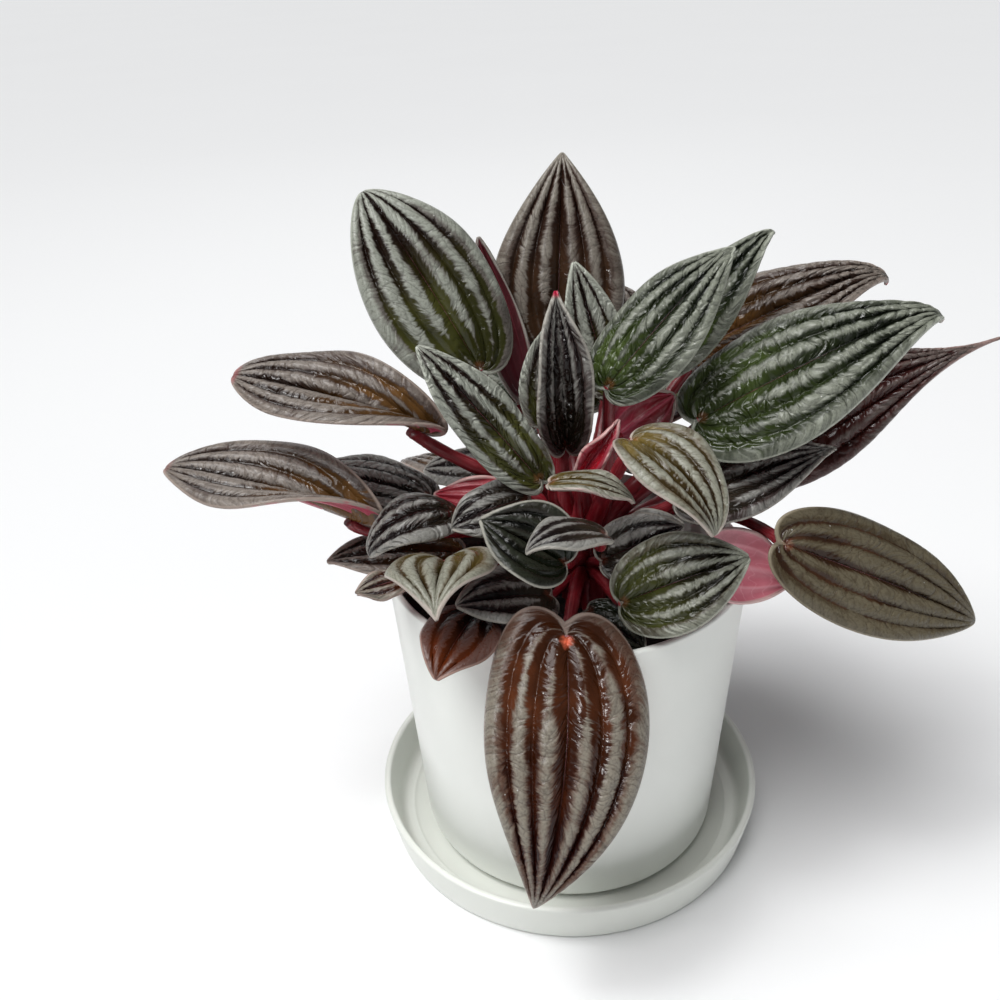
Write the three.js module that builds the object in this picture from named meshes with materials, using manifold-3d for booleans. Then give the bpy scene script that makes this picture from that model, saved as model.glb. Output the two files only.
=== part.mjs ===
// A small potted peperomia: a ribbed, red-stalked plant in a plain white plastic pot on a round saucer.
// Millimetres, +Z up. The origin is on the pot's axis at the underside of the saucer, and -Y is the front.

import * as THREE from "three";
import { mergeVertices } from "three/addons/utils/BufferGeometryUtils.js";
import Module from "manifold-3d";

const wasm = await Module();
wasm.setup();

// Clearance between pieces that touch on the real plant.
const CLEARANCE = 0.3;
const TURNED_SIDES = 44;
// Corners closer than this are one corner.
const JOIN_DISTANCE = 1e-3;
// How far the middle of a rounded edge lies inside the sharp edge, as a share of its radius.
const ROUND_CORNER = 0.3;

const SAUCER = {
  footRadius: 57.7,
  rimRadius: 60.7,
  rimHeight: 14.4,
  floorThickness: 3,
  wallThickness: 2.2,
  footRounding: 1.6,
  // The fillet between the floor and the wall, and the low step that centres the pot.
  filletWidth: 2.5,
  filletHeight: 2,
  stepRadius: 50.5,
  stepWidth: 1,
  stepRise: 0.7,
};

const POT = {
  rimRadius: 52.5,
  rimHeight: 96,
  footRadius: 46.2,
  footRounding: 4,
  wallThickness: 2,
  floorThickness: 2.5,
};
POT.underside = SAUCER.floorThickness - SAUCER.stepRise + CLEARANCE;

const SOIL = {
  height: 85,
  mound: 3,
  // Clearance from the pot's wall.
  sideGap: 0.45,
  // The lumps, and how many radians of each wave lie in a millimetre.
  lumpHeight: 1.1,
  broadAcross: 0.31,
  broadAlong: 0.37,
  broadShift: 0.8,
  fineAcross: 0.9,
  fineAlong: 0.7,
  sides: 26,
  rings: 5,
};

const CROWN = {
  x: 5,
  y: -6,
  stemRadius: 6.5,
  stemFoot: 66,
  shoulderHeight: 92,
  topRadius: 2.5,
  topHeight: 118,
  holeRadius: 6.9,
  lowestStalk: 86,
  highestStalk: 106,
  sides: 12,
};

const STALK = {
  radius: 1.5,
  thinRadius: 1.1,
  sides: 5,
  steps: 4,
  // Clearance under the blade that it carries.
  endGap: 0.4,
  // How far from the crown's axis it starts, and how far up for each millimetre that its blade is higher.
  spread: 2.5,
  climb: 0.35,
  // How far it leans out at its foot, and along the blade where it meets it, for each unit upwards.
  lean: 0.5,
  slant: 0.9,
  // The shares of its span over which it leaves the crown and reaches the blade.
  firstReach: 0.35,
  lastReach: 0.2,
};

const BLADE = {
  thickness: 1,
  edgeThickness: 0.7,
  // Ribs on each half of a blade, and of a small one.
  ribs: 3,
  smallRibs: 2,
  // Height of the ribs next to the midrib, as a share of the width, and how much lower the outer ones are.
  ribHeight: 0.045,
  ribFade: 0.4,
  // How much closer the grooves lie towards the edge, where 1 is evenly spaced.
  grooveSpacing: 0.85,
  // How full the blade is near its base, and how far its lobes and the notch between them reach back.
  shoulder: 0.55,
  // How blunt the tip is, as a share of the length.
  tipRounding: 0.02,
  lobeDepth: 0.4,
  lobeFade: 6,
  notchDepth: 0.05,
  notchFade: 8,
  lobeSweep: 1.5,
  // The extra fold at the base dies away along the blade by this power.
  cupFade: 2,
  // The edge's wave, its number of radians along the blade and the step from one leaf to the next.
  waveHeight: 0.9,
  waveTurns: 9,
  waveStep: 2.4,
  waveShift: 2,
  // Off the midrib the skin's direction turns with the fold, fully at this distance in millimetres.
  foldRun: 1.5,
  // How near the tip the hooked part of the bend lies.
  hookPower: 8,
  midribSteps: 40,
};

// Leaves narrower than this have fewer ribs and a thinner stalk.
const SMALL_LEAF = 21;
const LARGE_LEAF = 34;

// Rows along a blade, as shares of the way from the stalk's joint to the tip, closer at both ends.
const LONG_ROWS = [0, 0.05, 0.16, 0.34, 0.55, 0.76, 0.89, 0.96, 1];
const MEDIUM_ROWS = [0, 0.07, 0.25, 0.52, 0.84, 1];
const SHORT_ROWS = [0, 0.1, 0.38, 0.74, 1];

// The shape of a leaf where its own line says nothing else.
const USUAL = {
  bend: 15, hook: 0.3, fold: 10, cup: 0, curl: -20, point: 0.9, lobe: 1, veer: 0, sway: [0, 0, 0],
};

// Every leaf, chosen by eye from the photograph. base is where the stalk joins the blade and tip is its
// point. face is the direction that the upper side looks in, bend how far the blade arches from base to
// tip, hook how much of that comes near the tip, fold how far each half rises from the midrib, cup how
// much further it rises at the base and curl how far it turns from the midrib to its edge, all in
// degrees but hook. point is how drawn out the tip is, lobe how deep the lobes at the base are, veer how far
// the midrib bows aside as a share of its length, sway how far its stalk swings aside, and tint names the
// colour of the upper side.
const LEAVES = [
  // The tall leaves round the middle.
  { name: "leaf_left_tall", base: [-23.5, 5, 152], tip: [-54, 24, 195], width: 36,
    face: [2, -8, 5], bend: 50, hook: 0.6, fold: 8, curl: -28, point: 0.85, tint: "silver" },
  { name: "leaf_left_tall_behind", base: [-12, 16, 140], tip: [-24, 33, 180], width: 12,
    face: [-3, 7, 3], bend: 15, tint: "plum" },
  { name: "leaf_back_tall", base: [-2, 30, 148], tip: [0, 50, 199], width: 38,
    face: [0, -9, 3], bend: 40, hook: 0.7, fold: 6, curl: -20, point: 1.15, tint: "slate" },
  { name: "leaf_back_pale", base: [13, 16, 140], tip: [3, 26, 174], width: 16,
    face: [0, -9, 4], bend: 10, fold: 12, curl: -20, tint: "silver" },
  { name: "leaf_middle_folded", base: [0, -6, 134], tip: [-2, -3, 175], width: 24,
    face: [1, -9, 1], bend: 8, fold: 55, curl: -10, tint: "plum" },
  { name: "leaf_middle_silver", base: [-5.5, 3, 136], tip: [-3, 6, 164], width: 15,
    face: [-2, -9, 1], bend: 10, fold: 15, tint: "silver" },
  { name: "leaf_right_tall", base: [12, -8, 151.5], tip: [44, 8, 182], width: 24,
    face: [-3, -8, 5], bend: 40, hook: 0.6, fold: 8, curl: -30, point: 1.1, tint: "pewter" },
  { name: "leaf_right_tall_behind", base: [26, 12, 150], tip: [57, 25, 181], width: 20,
    face: [-3, -8, 5], bend: 100, hook: 0.85, fold: 8, curl: -30, point: 1.3, tint: "pewter" },
  { name: "leaf_middle_front", base: [-7, -25, 133], tip: [-36, -20, 167], width: 17,
    face: [1, -8, 5], bend: 40, hook: 0.6, fold: 6, curl: -40, tint: "silver" },
  // The leaves that reach out to the left.
  { name: "leaf_left_middle", base: [-41, -5, 138], tip: [-90, 0, 152], width: 28.5,
    face: [0, -4, 9], bend: 30, hook: 0.5, fold: 10, cup: 82, curl: -25, point: 0.7, lobe: 2, tint: "taupe" },
  { name: "leaf_left_low", base: [-59, -15, 115.5], tip: [-110, -10, 129], width: 31,
    face: [0, -2, 9], bend: 30, hook: 0.5, fold: 10, cup: 88, curl: -20, point: 0.75, lobe: 2,
    tint: "taupe" },
  { name: "leaf_left_striped", base: [-40, 0, 114], tip: [-78, 8, 118], width: 23,
    face: [0, -3, 9], bend: 30, fold: 5, curl: -30, tint: "plum" },
  { name: "leaf_left_dark_behind", base: [-19, 18, 114], tip: [-44, 29, 108], width: 20,
    face: [0, -3, 9], bend: 20, tint: "plum" },
  { name: "leaf_left_red_underside", base: [-14, -13, 121], tip: [-36, -11, 121], width: 11,
    face: [0, 6, -4], bend: 20, tint: "red" },
  { name: "leaf_left_rolled", base: [-30, -18, 119], tip: [-52, -27, 111], width: 20,
    face: [-3, -3, 9], bend: 120, hook: 0.2, fold: 5, curl: -30, tint: "plum" },
  { name: "leaf_left_under_rolled", base: [-31, -8, 100], tip: [-66, -19, 104], width: 20,
    face: [0, -2, 9], bend: 25, tint: "taupe" },
  // The small leaves over the front of the rim.
  { name: "leaf_front_bow", base: [-31, -36, 114], tip: [-31, -58, 112], width: 30,
    face: [-1, -2, 9], bend: 60, fold: 35, curl: -60, point: 1.4, tint: "sage" },
  { name: "leaf_front_dark_tip", base: [-5, -30, 100], tip: [-28, -42, 105], width: 20,
    face: [0, -4, 9], bend: 30, tint: "plum" },
  { name: "leaf_front_brown", base: [-24, -38, 99], tip: [-32, -59, 95], width: 20,
    face: [0, -4, 9], bend: 60, hook: 0.5, tint: "rust" },
  { name: "leaf_front_hanging", base: [0, -50.5, 100], tip: [-9, -77, 36], width: 42,
    face: [0, -9, 4], bend: 60, hook: 0.25, fold: 4, curl: -30, point: 1.25, lobe: 1.4, veer: -0.045,
    tint: "brown" },
  { name: "leaf_front_cupped", base: [-1, -40, 117], tip: [-21, -38, 128], width: 24,
    face: [0, -7, 7], bend: 20, fold: 40, tint: "moss" },
  { name: "leaf_front_curved", base: [9, -46, 128], tip: [-9, -54, 128], width: 13,
    face: [0, -1, 9], bend: 90, tint: "plum" },
  { name: "leaf_front_arch", base: [-3, -28, 133], tip: [17, -32, 129], width: 10,
    face: [0, -1, 9], bend: 80, tint: "sage" },
  { name: "leaf_front_ribbed", base: [-10, -26, 127], tip: [-29, -30, 121], width: 16,
    face: [0, -5, 8], bend: 60, tint: "plum" },
  { name: "leaf_young_red", base: [4, -14, 128], tip: [14, -14, 144], width: 10,
    face: [0, -9, 2], bend: 10, fold: 55, tint: "red" },
  { name: "leaf_front_small_dark", base: [6, -33, 97], tip: [20, -43, 92], width: 14,
    face: [0, -5, 8], bend: 30, tint: "moss" },
  { name: "leaf_front_withered", base: [-42, -32, 107], tip: [-55, -36, 105], width: 9,
    face: [0, -5, 8], bend: 20, tint: "brown" },
  // The leaves that reach out to the right.
  { name: "leaf_front_round", base: [15, -40, 105], tip: [45, -40, 118], width: 25.5,
    face: [0, -7, 7], bend: 25, fold: 12, curl: -20, tint: "olive" },
  { name: "leaf_right_pink_underside", base: [37, -26, 109], tip: [63, -20, 99], width: 20,
    face: [0, 7, -5], bend: 20, fold: 10, tint: "rose" },
  { name: "leaf_right_small_round", base: [10, -28, 110], tip: [30, -28, 120], width: 17,
    face: [0, -7, 7], bend: 20, tint: "plum" },
  { name: "leaf_right_small_striped", base: [16, -19, 110], tip: [31, -22, 117], width: 14,
    face: [0, -7, 6], bend: 20, tint: "plum" },
  { name: "leaf_right_arched", base: [17, -28, 144], tip: [35, -45, 127.5], width: 22,
    face: [2, -4, 9], bend: 100, fold: 25, curl: -30, tint: "sage" },
  { name: "leaf_right_red_underside", base: [15, 2, 132], tip: [30, 4, 143], width: 17,
    face: [0, 8, -2], bend: 10, tint: "taupe" },
  { name: "leaf_right_long", base: [37, -5, 140], tip: [98, 5, 162], width: 37,
    face: [-1, -6, 8], bend: 105, hook: 0.9, fold: 6, curl: -35, point: 1.35, tint: "pewter" },
  { name: "leaf_right_upper", base: [39, 25, 148], tip: [92, 35, 163], width: 31,
    face: [0, -5, 8], bend: 110, hook: 0.88, point: 1.4, tint: "taupe" },
  { name: "leaf_right_far", base: [50, 18, 124], tip: [125, 30, 148], width: 46,
    face: [0, -6, 5], bend: 10, fold: 0, curl: -60, point: 2.3, tint: "umber" },
  { name: "leaf_right_plum", base: [31, -15, 121], tip: [74, 0, 128], width: 23,
    face: [0, -6, 7], bend: 25, hook: 0.5, fold: 15, point: 1.3, tint: "plum" },
  { name: "leaf_right_low", base: [58.5, -22, 110.5], tip: [114, -15, 81], width: 31,
    face: [-1, -7, 7], bend: 25, hook: 0.4, fold: 6, curl: -20, sway: [0, 14, 4], tint: "bronze" },
  // The leaves at the back, which the photograph doesn't show.
  { name: "leaf_rear_left_low", base: [-28, 38, 102], tip: [-56, 66, 92], width: 28,
    face: [0, 2, 9], bend: 30, tint: "taupe" },
  { name: "leaf_rear_left", base: [-14, 34, 118], tip: [-36, 72, 116], width: 31,
    face: [0, 1, 9], bend: 30, tint: "silver" },
  { name: "leaf_rear_middle", base: [4, 36, 126], tip: [6, 78, 138], width: 29,
    face: [0, 0, 9], bend: 30, tint: "silver" },
  { name: "leaf_rear_right", base: [22, 36, 120], tip: [46, 72, 122], width: 31,
    face: [0, 1, 9], bend: 30, tint: "taupe" },
  { name: "leaf_rear_right_low", base: [40, 30, 106], tip: [74, 52, 96], width: 28,
    face: [0, 2, 9], bend: 30, tint: "olive" },
  { name: "leaf_rear_upper_left", base: [-15, 26, 132], tip: [-38, 50, 132], width: 26,
    face: [-1, 2, 9], bend: 35, tint: "pewter" },
  { name: "leaf_rear_upper_middle", base: [13, 28, 140], tip: [16, 62, 156], width: 26,
    face: [0, 1, 9], bend: 35, tint: "taupe" },
  { name: "leaf_rear_upper_right", base: [24, 30, 128], tip: [50, 54, 138], width: 26,
    face: [1, 1, 9], bend: 35, tint: "pewter" },
  { name: "leaf_rear_hanging", base: [-2, 50, 104], tip: [-6, 76, 52], width: 36,
    face: [0, 9, 4], bend: 40, hook: 0, fold: 4, curl: -30, point: 1.05, tint: "brown" },
  { name: "leaf_rear_low", base: [26, 40, 101], tip: [44, 76, 88], width: 24,
    face: [0, 4, 9], bend: 30, tint: "plum" },
  { name: "leaf_left_rear", base: [-38, 14, 103], tip: [-78, 26, 97], width: 24,
    face: [0, 0, 9], bend: 25, tint: "olive" },
];

LEAVES.forEach((leaf, i) => {
  Object.assign(leaf, { ...USUAL, ...leaf, phase: i * BLADE.waveStep });
});

// The half width of a blade at share t of its length, as a share of its widest half width.
function outlineShare(t, point) {
  const drawn = (s) => s ** BLADE.shoulder * Math.sqrt((1 - s) * (1 - s + BLADE.tipRounding)) ** point;
  return drawn(t) / drawn(BLADE.shoulder / (BLADE.shoulder + point));
}

// How far along the blade, as a share of its length, a point lies at share t of the way to the tip and
// share c of the way to the edge. Off the midrib it swings back round the joint into two lobes.
function reachShare(t, c, depth) {
  const lobe = BLADE.lobeDepth * Math.sqrt(t) * (1 - t) ** BLADE.lobeFade;
  const notch = BLADE.notchDepth * (1 - t) ** BLADE.notchFade;
  return t - depth * (lobe + notch) * Math.abs(c) ** BLADE.lobeSweep;
}

// The midrib as an arc in one plane, from the stalk's joint to the tip: a function of the share of its
// length that gives a point, the direction along it and the direction off its upper side.
function midribOf({ base, tip, face, bend, hook, veer }) {
  const start = new THREE.Vector3(...base);
  const chord = new THREE.Vector3(...tip).sub(start);
  const along = chord.clone().normalize();
  const off = new THREE.Vector3(...face);
  off.addScaledVector(along, -off.dot(along)).normalize();
  const side = along.clone().cross(off);
  const total = THREE.MathUtils.degToRad(bend);
  const turned = (q) => -total * ((1 - hook) * q + hook * q ** BLADE.hookPower);
  const steps = BLADE.midribSteps;
  const track = [[0, 0]];
  for (let i = 0; i < steps; i++) {
    const angle = turned((i + 0.5) / steps);
    const [u, v] = track[i];
    track.push([u + Math.cos(angle) / steps, v + Math.sin(angle) / steps]);
  }
  const [endU, endV] = track[steps];
  const tilt = -Math.atan2(endV, endU);
  const length = chord.length() / Math.hypot(endU, endV);
  const inPlane = (u, v) => along.clone().multiplyScalar(u).addScaledVector(off, v);
  const at = (q) => {
    const held = THREE.MathUtils.clamp(q, 0, 1);
    const i = Math.min(Math.floor(held * steps), steps - 1);
    const f = held * steps - i;
    const u = track[i][0] * (1 - f) + track[i + 1][0] * f;
    const v = track[i][1] * (1 - f) + track[i + 1][1] * f;
    const angle = turned(held) + tilt;
    const tangent = inPlane(Math.cos(angle), Math.sin(angle));
    const normal = inPlane(-Math.sin(angle), Math.cos(angle));
    const point = inPlane(
      (u * Math.cos(tilt) - v * Math.sin(tilt)) * length,
      (u * Math.sin(tilt) + v * Math.cos(tilt)) * length,
    ).add(start);
    point.addScaledVector(tangent, (q - held) * length);
    point.addScaledVector(side, 4 * q * (1 - q) * veer * length);
    return { point, tangent, normal };
  };
  return { at, side, length };
}

// The middle of the blade's thickness at share t of its length and share c of its width, and the
// direction off its upper side there. Across the blade each half is an arc that starts at the fold.
function bladePoint(leaf, midrib, ribs, t, c) {
  const { fold, cup, curl, point, phase } = leaf;
  const spread = (Math.abs(c) * leaf.width * outlineShare(t, point)) / 2;
  const first = THREE.MathUtils.degToRad(fold + cup * (1 - t) ** BLADE.cupFade);
  const rate = THREE.MathUtils.degToRad(curl) / (leaf.width / 2);
  const turn = first + rate * spread;
  const across = (Math.sin(turn) - Math.sin(first)) / rate;
  const rise = (Math.cos(first) - Math.cos(turn)) / rate;
  const { point: spine, normal } = midrib.at(reachShare(t, c, leaf.lobe));
  const outward = midrib.side.clone().multiplyScalar(Math.sign(c));
  const lean = turn * Math.min(1, spread / BLADE.foldRun);
  const skin = normal.clone().multiplyScalar(Math.cos(lean)).addScaledVector(outward, -Math.sin(lean));
  const middle = spine.clone().addScaledVector(outward, across).addScaledVector(normal, rise);
  const rib = ribRise(Math.abs(c), ribs) * BLADE.ribHeight * leaf.width;
  const ends = Math.sqrt(Math.sin(Math.PI * t));
  const swell = Math.sin(BLADE.waveTurns * t + phase + (c > 0 ? BLADE.waveShift : 0));
  const ripple = BLADE.waveHeight * c ** 4 * swell;
  middle.addScaledVector(skin, (rib + ripple) * ends);
  return { middle, skin };
}

// Where the sharp grooves run between the rounded ribs, as shares of the half width.
function grooveShare(k, ribs) {
  return (k / ribs) ** BLADE.grooveSpacing;
}

// The height of the rounded ribs at share c of the half width, from 0 in a groove to 1 on the first rib.
function ribRise(c, ribs) {
  let k = 0;
  while (k < ribs - 1 && c > grooveShare(k + 1, ribs)) k++;
  const from = grooveShare(k, ribs);
  const to = grooveShare(k + 1, ribs);
  const share = THREE.MathUtils.clamp((c - from) / (to - from), 0, 1);
  return Math.sin(Math.PI * share) * (1 - BLADE.ribFade * from);
}

// The lines along a blade that its corners lie on: each groove and each rib's crest.
function columnShares(ribs) {
  const half = [];
  for (let k = 0; k < ribs; k++) {
    const from = grooveShare(k, ribs);
    const to = grooveShare(k + 1, ribs);
    half.push((from + to) / 2, to);
  }
  return [...half.map((c) => -c).reverse(), 0, ...half];
}

// A blade as one closed skin: two faces split into triangles alike and a narrow edge round them.
function bladeGeometry(leaf) {
  const midrib = midribOf(leaf);
  const small = leaf.width < SMALL_LEAF;
  const ribs = small ? BLADE.smallRibs : BLADE.ribs;
  const rows = leaf.width >= LARGE_LEAF ? LONG_ROWS : small ? SHORT_ROWS : MEDIUM_ROWS;
  const columns = columnShares(ribs);
  const triangles = [];
  const corner = (j, i, upper) => {
    const { middle, skin } = bladePoint(leaf, midrib, ribs, rows[j], columns[i]);
    const thickness = THREE.MathUtils.lerp(BLADE.thickness, BLADE.edgeThickness, columns[i] ** 2);
    return middle.addScaledVector(skin, (upper ? 0.5 : -0.5) * thickness);
  };
  const wide = columns.length - 1;
  for (let j = 0; j < rows.length - 1; j++) {
    for (let i = 0; i < wide; i++) {
      for (const upper of [true, false]) {
        const a = corner(j, i, upper);
        const b = corner(j, i + 1, upper);
        const c = corner(j + 1, i + 1, upper);
        const d = corner(j + 1, i, upper);
        triangles.push(upper ? [a, b, c] : [a, c, b], upper ? [a, c, d] : [a, d, c]);
      }
    }
    for (const [i, rising] of [[wide, true], [0, false]]) {
      const [from, to] = rising ? [j, j + 1] : [j + 1, j];
      const a = corner(from, i, true);
      const b = corner(to, i, true);
      const c = corner(from, i, false);
      const d = corner(to, i, false);
      triangles.push([b, a, c], [b, c, d]);
    }
  }
  return closedSkin(triangles);
}

// One geometry from loose triangles, with shared corners joined and triangles of no area left out.
function closedSkin(triangles) {
  const positions = triangles.flat().flatMap((p) => [p.x, p.y, p.z]);
  const loose = new THREE.BufferGeometry();
  loose.setAttribute("position", new THREE.Float32BufferAttribute(positions, 3));
  const joined = mergeVertices(loose, JOIN_DISTANCE);
  const index = joined.index.array;
  const kept = [];
  for (let i = 0; i < index.length; i += 3) {
    const [a, b, c] = [index[i], index[i + 1], index[i + 2]];
    if (a !== b && b !== c && c !== a) kept.push(a, b, c);
  }
  joined.setIndex(kept);
  return joined;
}

function solidOf(geometry) {
  const bare = geometry.clone();
  bare.deleteAttribute("normal");
  bare.deleteAttribute("uv");
  const joined = mergeVertices(bare, JOIN_DISTANCE);
  return new wasm.Manifold(
    new wasm.Mesh({
      numProp: 3,
      vertProperties: joined.attributes.position.array,
      triVerts: new Uint32Array(joined.index.array),
    }),
  );
}

function geometryOf(solid) {
  const { vertProperties, triVerts } = solid.getMesh();
  const geometry = new THREE.BufferGeometry();
  geometry.setAttribute("position", new THREE.Float32BufferAttribute(vertProperties, 3));
  geometry.setIndex(new THREE.Uint32BufferAttribute(triVerts, 1));
  return geometry;
}

// A body of revolution about the pot's axis from [radius, height] pairs, outer side first, bottom up.
function turned(profile, sides = TURNED_SIDES) {
  const points = profile.map(([radius, height]) => new THREE.Vector2(radius, height));
  return new THREE.LatheGeometry(points, sides).rotateX(Math.PI / 2);
}

// The rounded top of a thin wall, from its outer face over to its inner face.
function lipProfile({ rimRadius, rimHeight, wallThickness }) {
  const half = wallThickness / 2;
  const corner = ROUND_CORNER * half;
  return [
    [rimRadius, rimHeight - half],
    [rimRadius - corner, rimHeight - corner],
    [rimRadius - half, rimHeight],
    [rimRadius - wallThickness + corner, rimHeight - corner],
    [rimRadius - wallThickness, rimHeight - half],
  ];
}

function saucerGeometry() {
  const s = SAUCER;
  const innerFoot = s.footRadius - s.wallThickness;
  return turned([
    [0, 0],
    [s.footRadius - s.footRounding, 0],
    [s.footRadius, s.footRounding],
    ...lipProfile(s),
    [innerFoot, s.floorThickness + s.filletHeight],
    [innerFoot - s.filletWidth, s.floorThickness],
    [s.stepRadius + s.stepWidth, s.floorThickness],
    [s.stepRadius, s.floorThickness - s.stepRise],
    [0, s.floorThickness - s.stepRise],
  ]);
}

function potGeometry() {
  const p = POT;
  const inner = p.footRadius - p.wallThickness;
  const floor = p.underside + p.floorThickness;
  const corner = ROUND_CORNER * p.footRounding;
  return turned([
    [0, p.underside],
    [p.footRadius - p.footRounding, p.underside],
    [p.footRadius - corner, p.underside + corner],
    [p.footRadius, p.underside + p.footRounding],
    ...lipProfile(p),
    [inner, floor + p.footRounding],
    [inner - p.footRounding, floor],
    [0, floor],
  ]);
}

// The potting mix as a low rough mound that fills the pot, with a plain hole for the plant's stem.
function soilGeometry() {
  const p = POT;
  const floor = p.underside + p.floorThickness;
  const innerFoot = p.footRadius - p.wallThickness;
  const innerRim = p.rimRadius - p.wallThickness;
  const flare = (innerRim - innerFoot) / (p.rimHeight - floor - p.footRounding);
  const edge = SOIL.height - SOIL.mound;
  const edgeRadius = innerFoot + flare * (edge - floor - p.footRounding) - SOIL.sideGap;
  const profile = [
    [0, floor + CLEARANCE],
    [innerFoot - p.footRounding - CLEARANCE, floor + CLEARANCE],
    [innerFoot - SOIL.sideGap, floor + p.footRounding + CLEARANCE],
    [edgeRadius, edge],
  ];
  for (let ring = SOIL.rings - 1; ring >= 0; ring--) {
    const share = ring / SOIL.rings;
    profile.push([edgeRadius * share, edge + SOIL.mound * (1 - share ** 2)]);
  }
  const geometry = turned(profile, SOIL.sides);
  const position = geometry.attributes.position;
  for (let i = 0; i < position.count; i++) {
    const [x, y, z] = [position.getX(i), position.getY(i), position.getZ(i)];
    if (z <= edge + CLEARANCE) continue;
    const broad = Math.sin(SOIL.broadAcross * x + SOIL.broadShift) * Math.cos(SOIL.broadAlong * y);
    const fine = Math.sin(SOIL.fineAcross * x - SOIL.fineAlong * y);
    position.setZ(i, z + (SOIL.lumpHeight * (broad + fine)) / 2);
  }
  const hole = new THREE.CylinderGeometry(CROWN.holeRadius, CROWN.holeRadius, SOIL.height, CROWN.sides)
    .rotateX(Math.PI / 2)
    .translate(CROWN.x, CROWN.y, CROWN.stemFoot - CLEARANCE + SOIL.height / 2);
  return geometryOf(solidOf(geometry).subtract(solidOf(hole)));
}

// The short stem and the cone of young growth above it, which all the stalks leave.
function crownSolid() {
  const c = CROWN;
  const profile = [
    [0, c.stemFoot],
    [c.stemRadius, c.stemFoot],
    [c.stemRadius, c.shoulderHeight],
    [c.topRadius, c.topHeight],
    [0, c.topHeight + c.topRadius],
  ];
  return solidOf(turned(profile, c.sides).translate(c.x, c.y, 0));
}

// A stalk from the crown to just under its blade's joint, rising first and then leaning over.
function stalkSolid(leaf) {
  const { point, tangent, normal } = midribOf(leaf).at(0);
  const radius = leaf.width < SMALL_LEAF ? STALK.thinRadius : STALK.radius;
  const arrival = tangent.multiplyScalar(STALK.slant).add(normal).normalize();
  const slope = Math.sqrt(1 - arrival.dot(normal) ** 2);
  const gap = BLADE.thickness / 2 + STALK.endGap + radius * slope;
  const end = point.clone().addScaledVector(normal, -gap);
  const outward = new THREE.Vector3(end.x - CROWN.x, end.y - CROWN.y, 0).normalize();
  const rise = CROWN.lowestStalk + STALK.climb * (end.z - CROWN.lowestStalk);
  const root = outward.clone().multiplyScalar(STALK.spread);
  root.add(new THREE.Vector3(CROWN.x, CROWN.y, Math.min(rise, CROWN.highestStalk)));
  const reach = root.distanceTo(end);
  const leaving = outward.clone().multiplyScalar(STALK.lean);
  leaving.z = 1;
  const sway = new THREE.Vector3(...leaf.sway);
  const first = root.clone().addScaledVector(leaving.normalize(), STALK.firstReach * reach).add(sway);
  const last = end.clone().addScaledVector(arrival, -STALK.lastReach * reach).add(sway);
  const path = new THREE.CubicBezierCurve3(root, first, last, end);
  const section = new THREE.Shape();
  for (let i = 0; i < STALK.sides; i++) {
    const angle = (2 * Math.PI * i) / STALK.sides;
    const corner = [radius * Math.cos(angle), radius * Math.sin(angle)];
    if (i) section.lineTo(...corner);
    else section.moveTo(...corner);
  }
  section.closePath();
  const options = { steps: STALK.steps, bevelEnabled: false, extrudePath: path };
  return solidOf(new THREE.ExtrudeGeometry(section, options));
}

function crownGeometry() {
  let solid = crownSolid();
  for (const leaf of LEAVES) solid = solid.add(stalkSolid(leaf));
  return geometryOf(solid);
}

// Colour and roughness of each kind of surface.
const COLOURS = {
  saucer: [0xdfe2db, 0.45],
  pot: [0xe8eae6, 0.4],
  soil: [0x1c1613, 0.95],
  stalk: [0xa8283a, 0.4],
  silver: [0x7d8a80, 0.4],
  pewter: [0x59665a, 0.38],
  slate: [0x75695f, 0.42],
  sage: [0x9a9c86, 0.42],
  taupe: [0x6f6660, 0.42],
  plum: [0x4a3539, 0.38],
  olive: [0x4d5540, 0.35],
  moss: [0x3d4232, 0.35],
  brown: [0x5b3a30, 0.35],
  umber: [0x4a2a26, 0.36],
  rust: [0x6b3d2c, 0.35],
  bronze: [0x54452f, 0.3],
  rose: [0x8a5a58, 0.4],
  red: [0x9c2a38, 0.4],
};

const group = new THREE.Group();
group.name = "potted_peperomia";

function add(name, geometry, colour) {
  const [color, roughness] = COLOURS[colour];
  const mesh = new THREE.Mesh(geometry, new THREE.MeshStandardMaterial({ color, roughness }));
  mesh.name = name;
  group.add(mesh);
}

add("saucer", saucerGeometry(), "saucer");
add("pot", potGeometry(), "pot");
add("soil", soilGeometry(), "soil");
add("crown_and_stalks", crownGeometry(), "stalk");
for (const leaf of LEAVES) add(leaf.name, bladeGeometry(leaf), leaf.tint);

export default group;
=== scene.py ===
"""The looks of a small potted peperomia: silver ribbed leaves on red stalks, in a white pot on a saucer."""

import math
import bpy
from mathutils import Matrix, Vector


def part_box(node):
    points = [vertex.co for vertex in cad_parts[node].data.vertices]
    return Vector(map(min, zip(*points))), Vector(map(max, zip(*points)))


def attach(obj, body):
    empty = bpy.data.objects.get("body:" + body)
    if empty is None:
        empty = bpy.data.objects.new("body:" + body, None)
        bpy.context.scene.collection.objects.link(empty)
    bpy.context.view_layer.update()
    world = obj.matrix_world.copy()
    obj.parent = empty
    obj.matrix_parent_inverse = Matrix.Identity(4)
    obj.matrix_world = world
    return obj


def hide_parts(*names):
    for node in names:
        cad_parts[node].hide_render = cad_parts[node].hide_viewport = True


bl_info = {
    "name": "Potted peperomia",
    "version": (1, 0, 0),
    "blender": (4, 5, 0),
    "location": "View3D > Sidebar > Peperomia",
    "description": "Grows a ribbed-leaf peperomia in its white pot and saucer round the packed model",
    "category": "Object",
}

from typing import NamedTuple

import bmesh
import bpy
from mathutils import Matrix, Vector, noise

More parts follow.
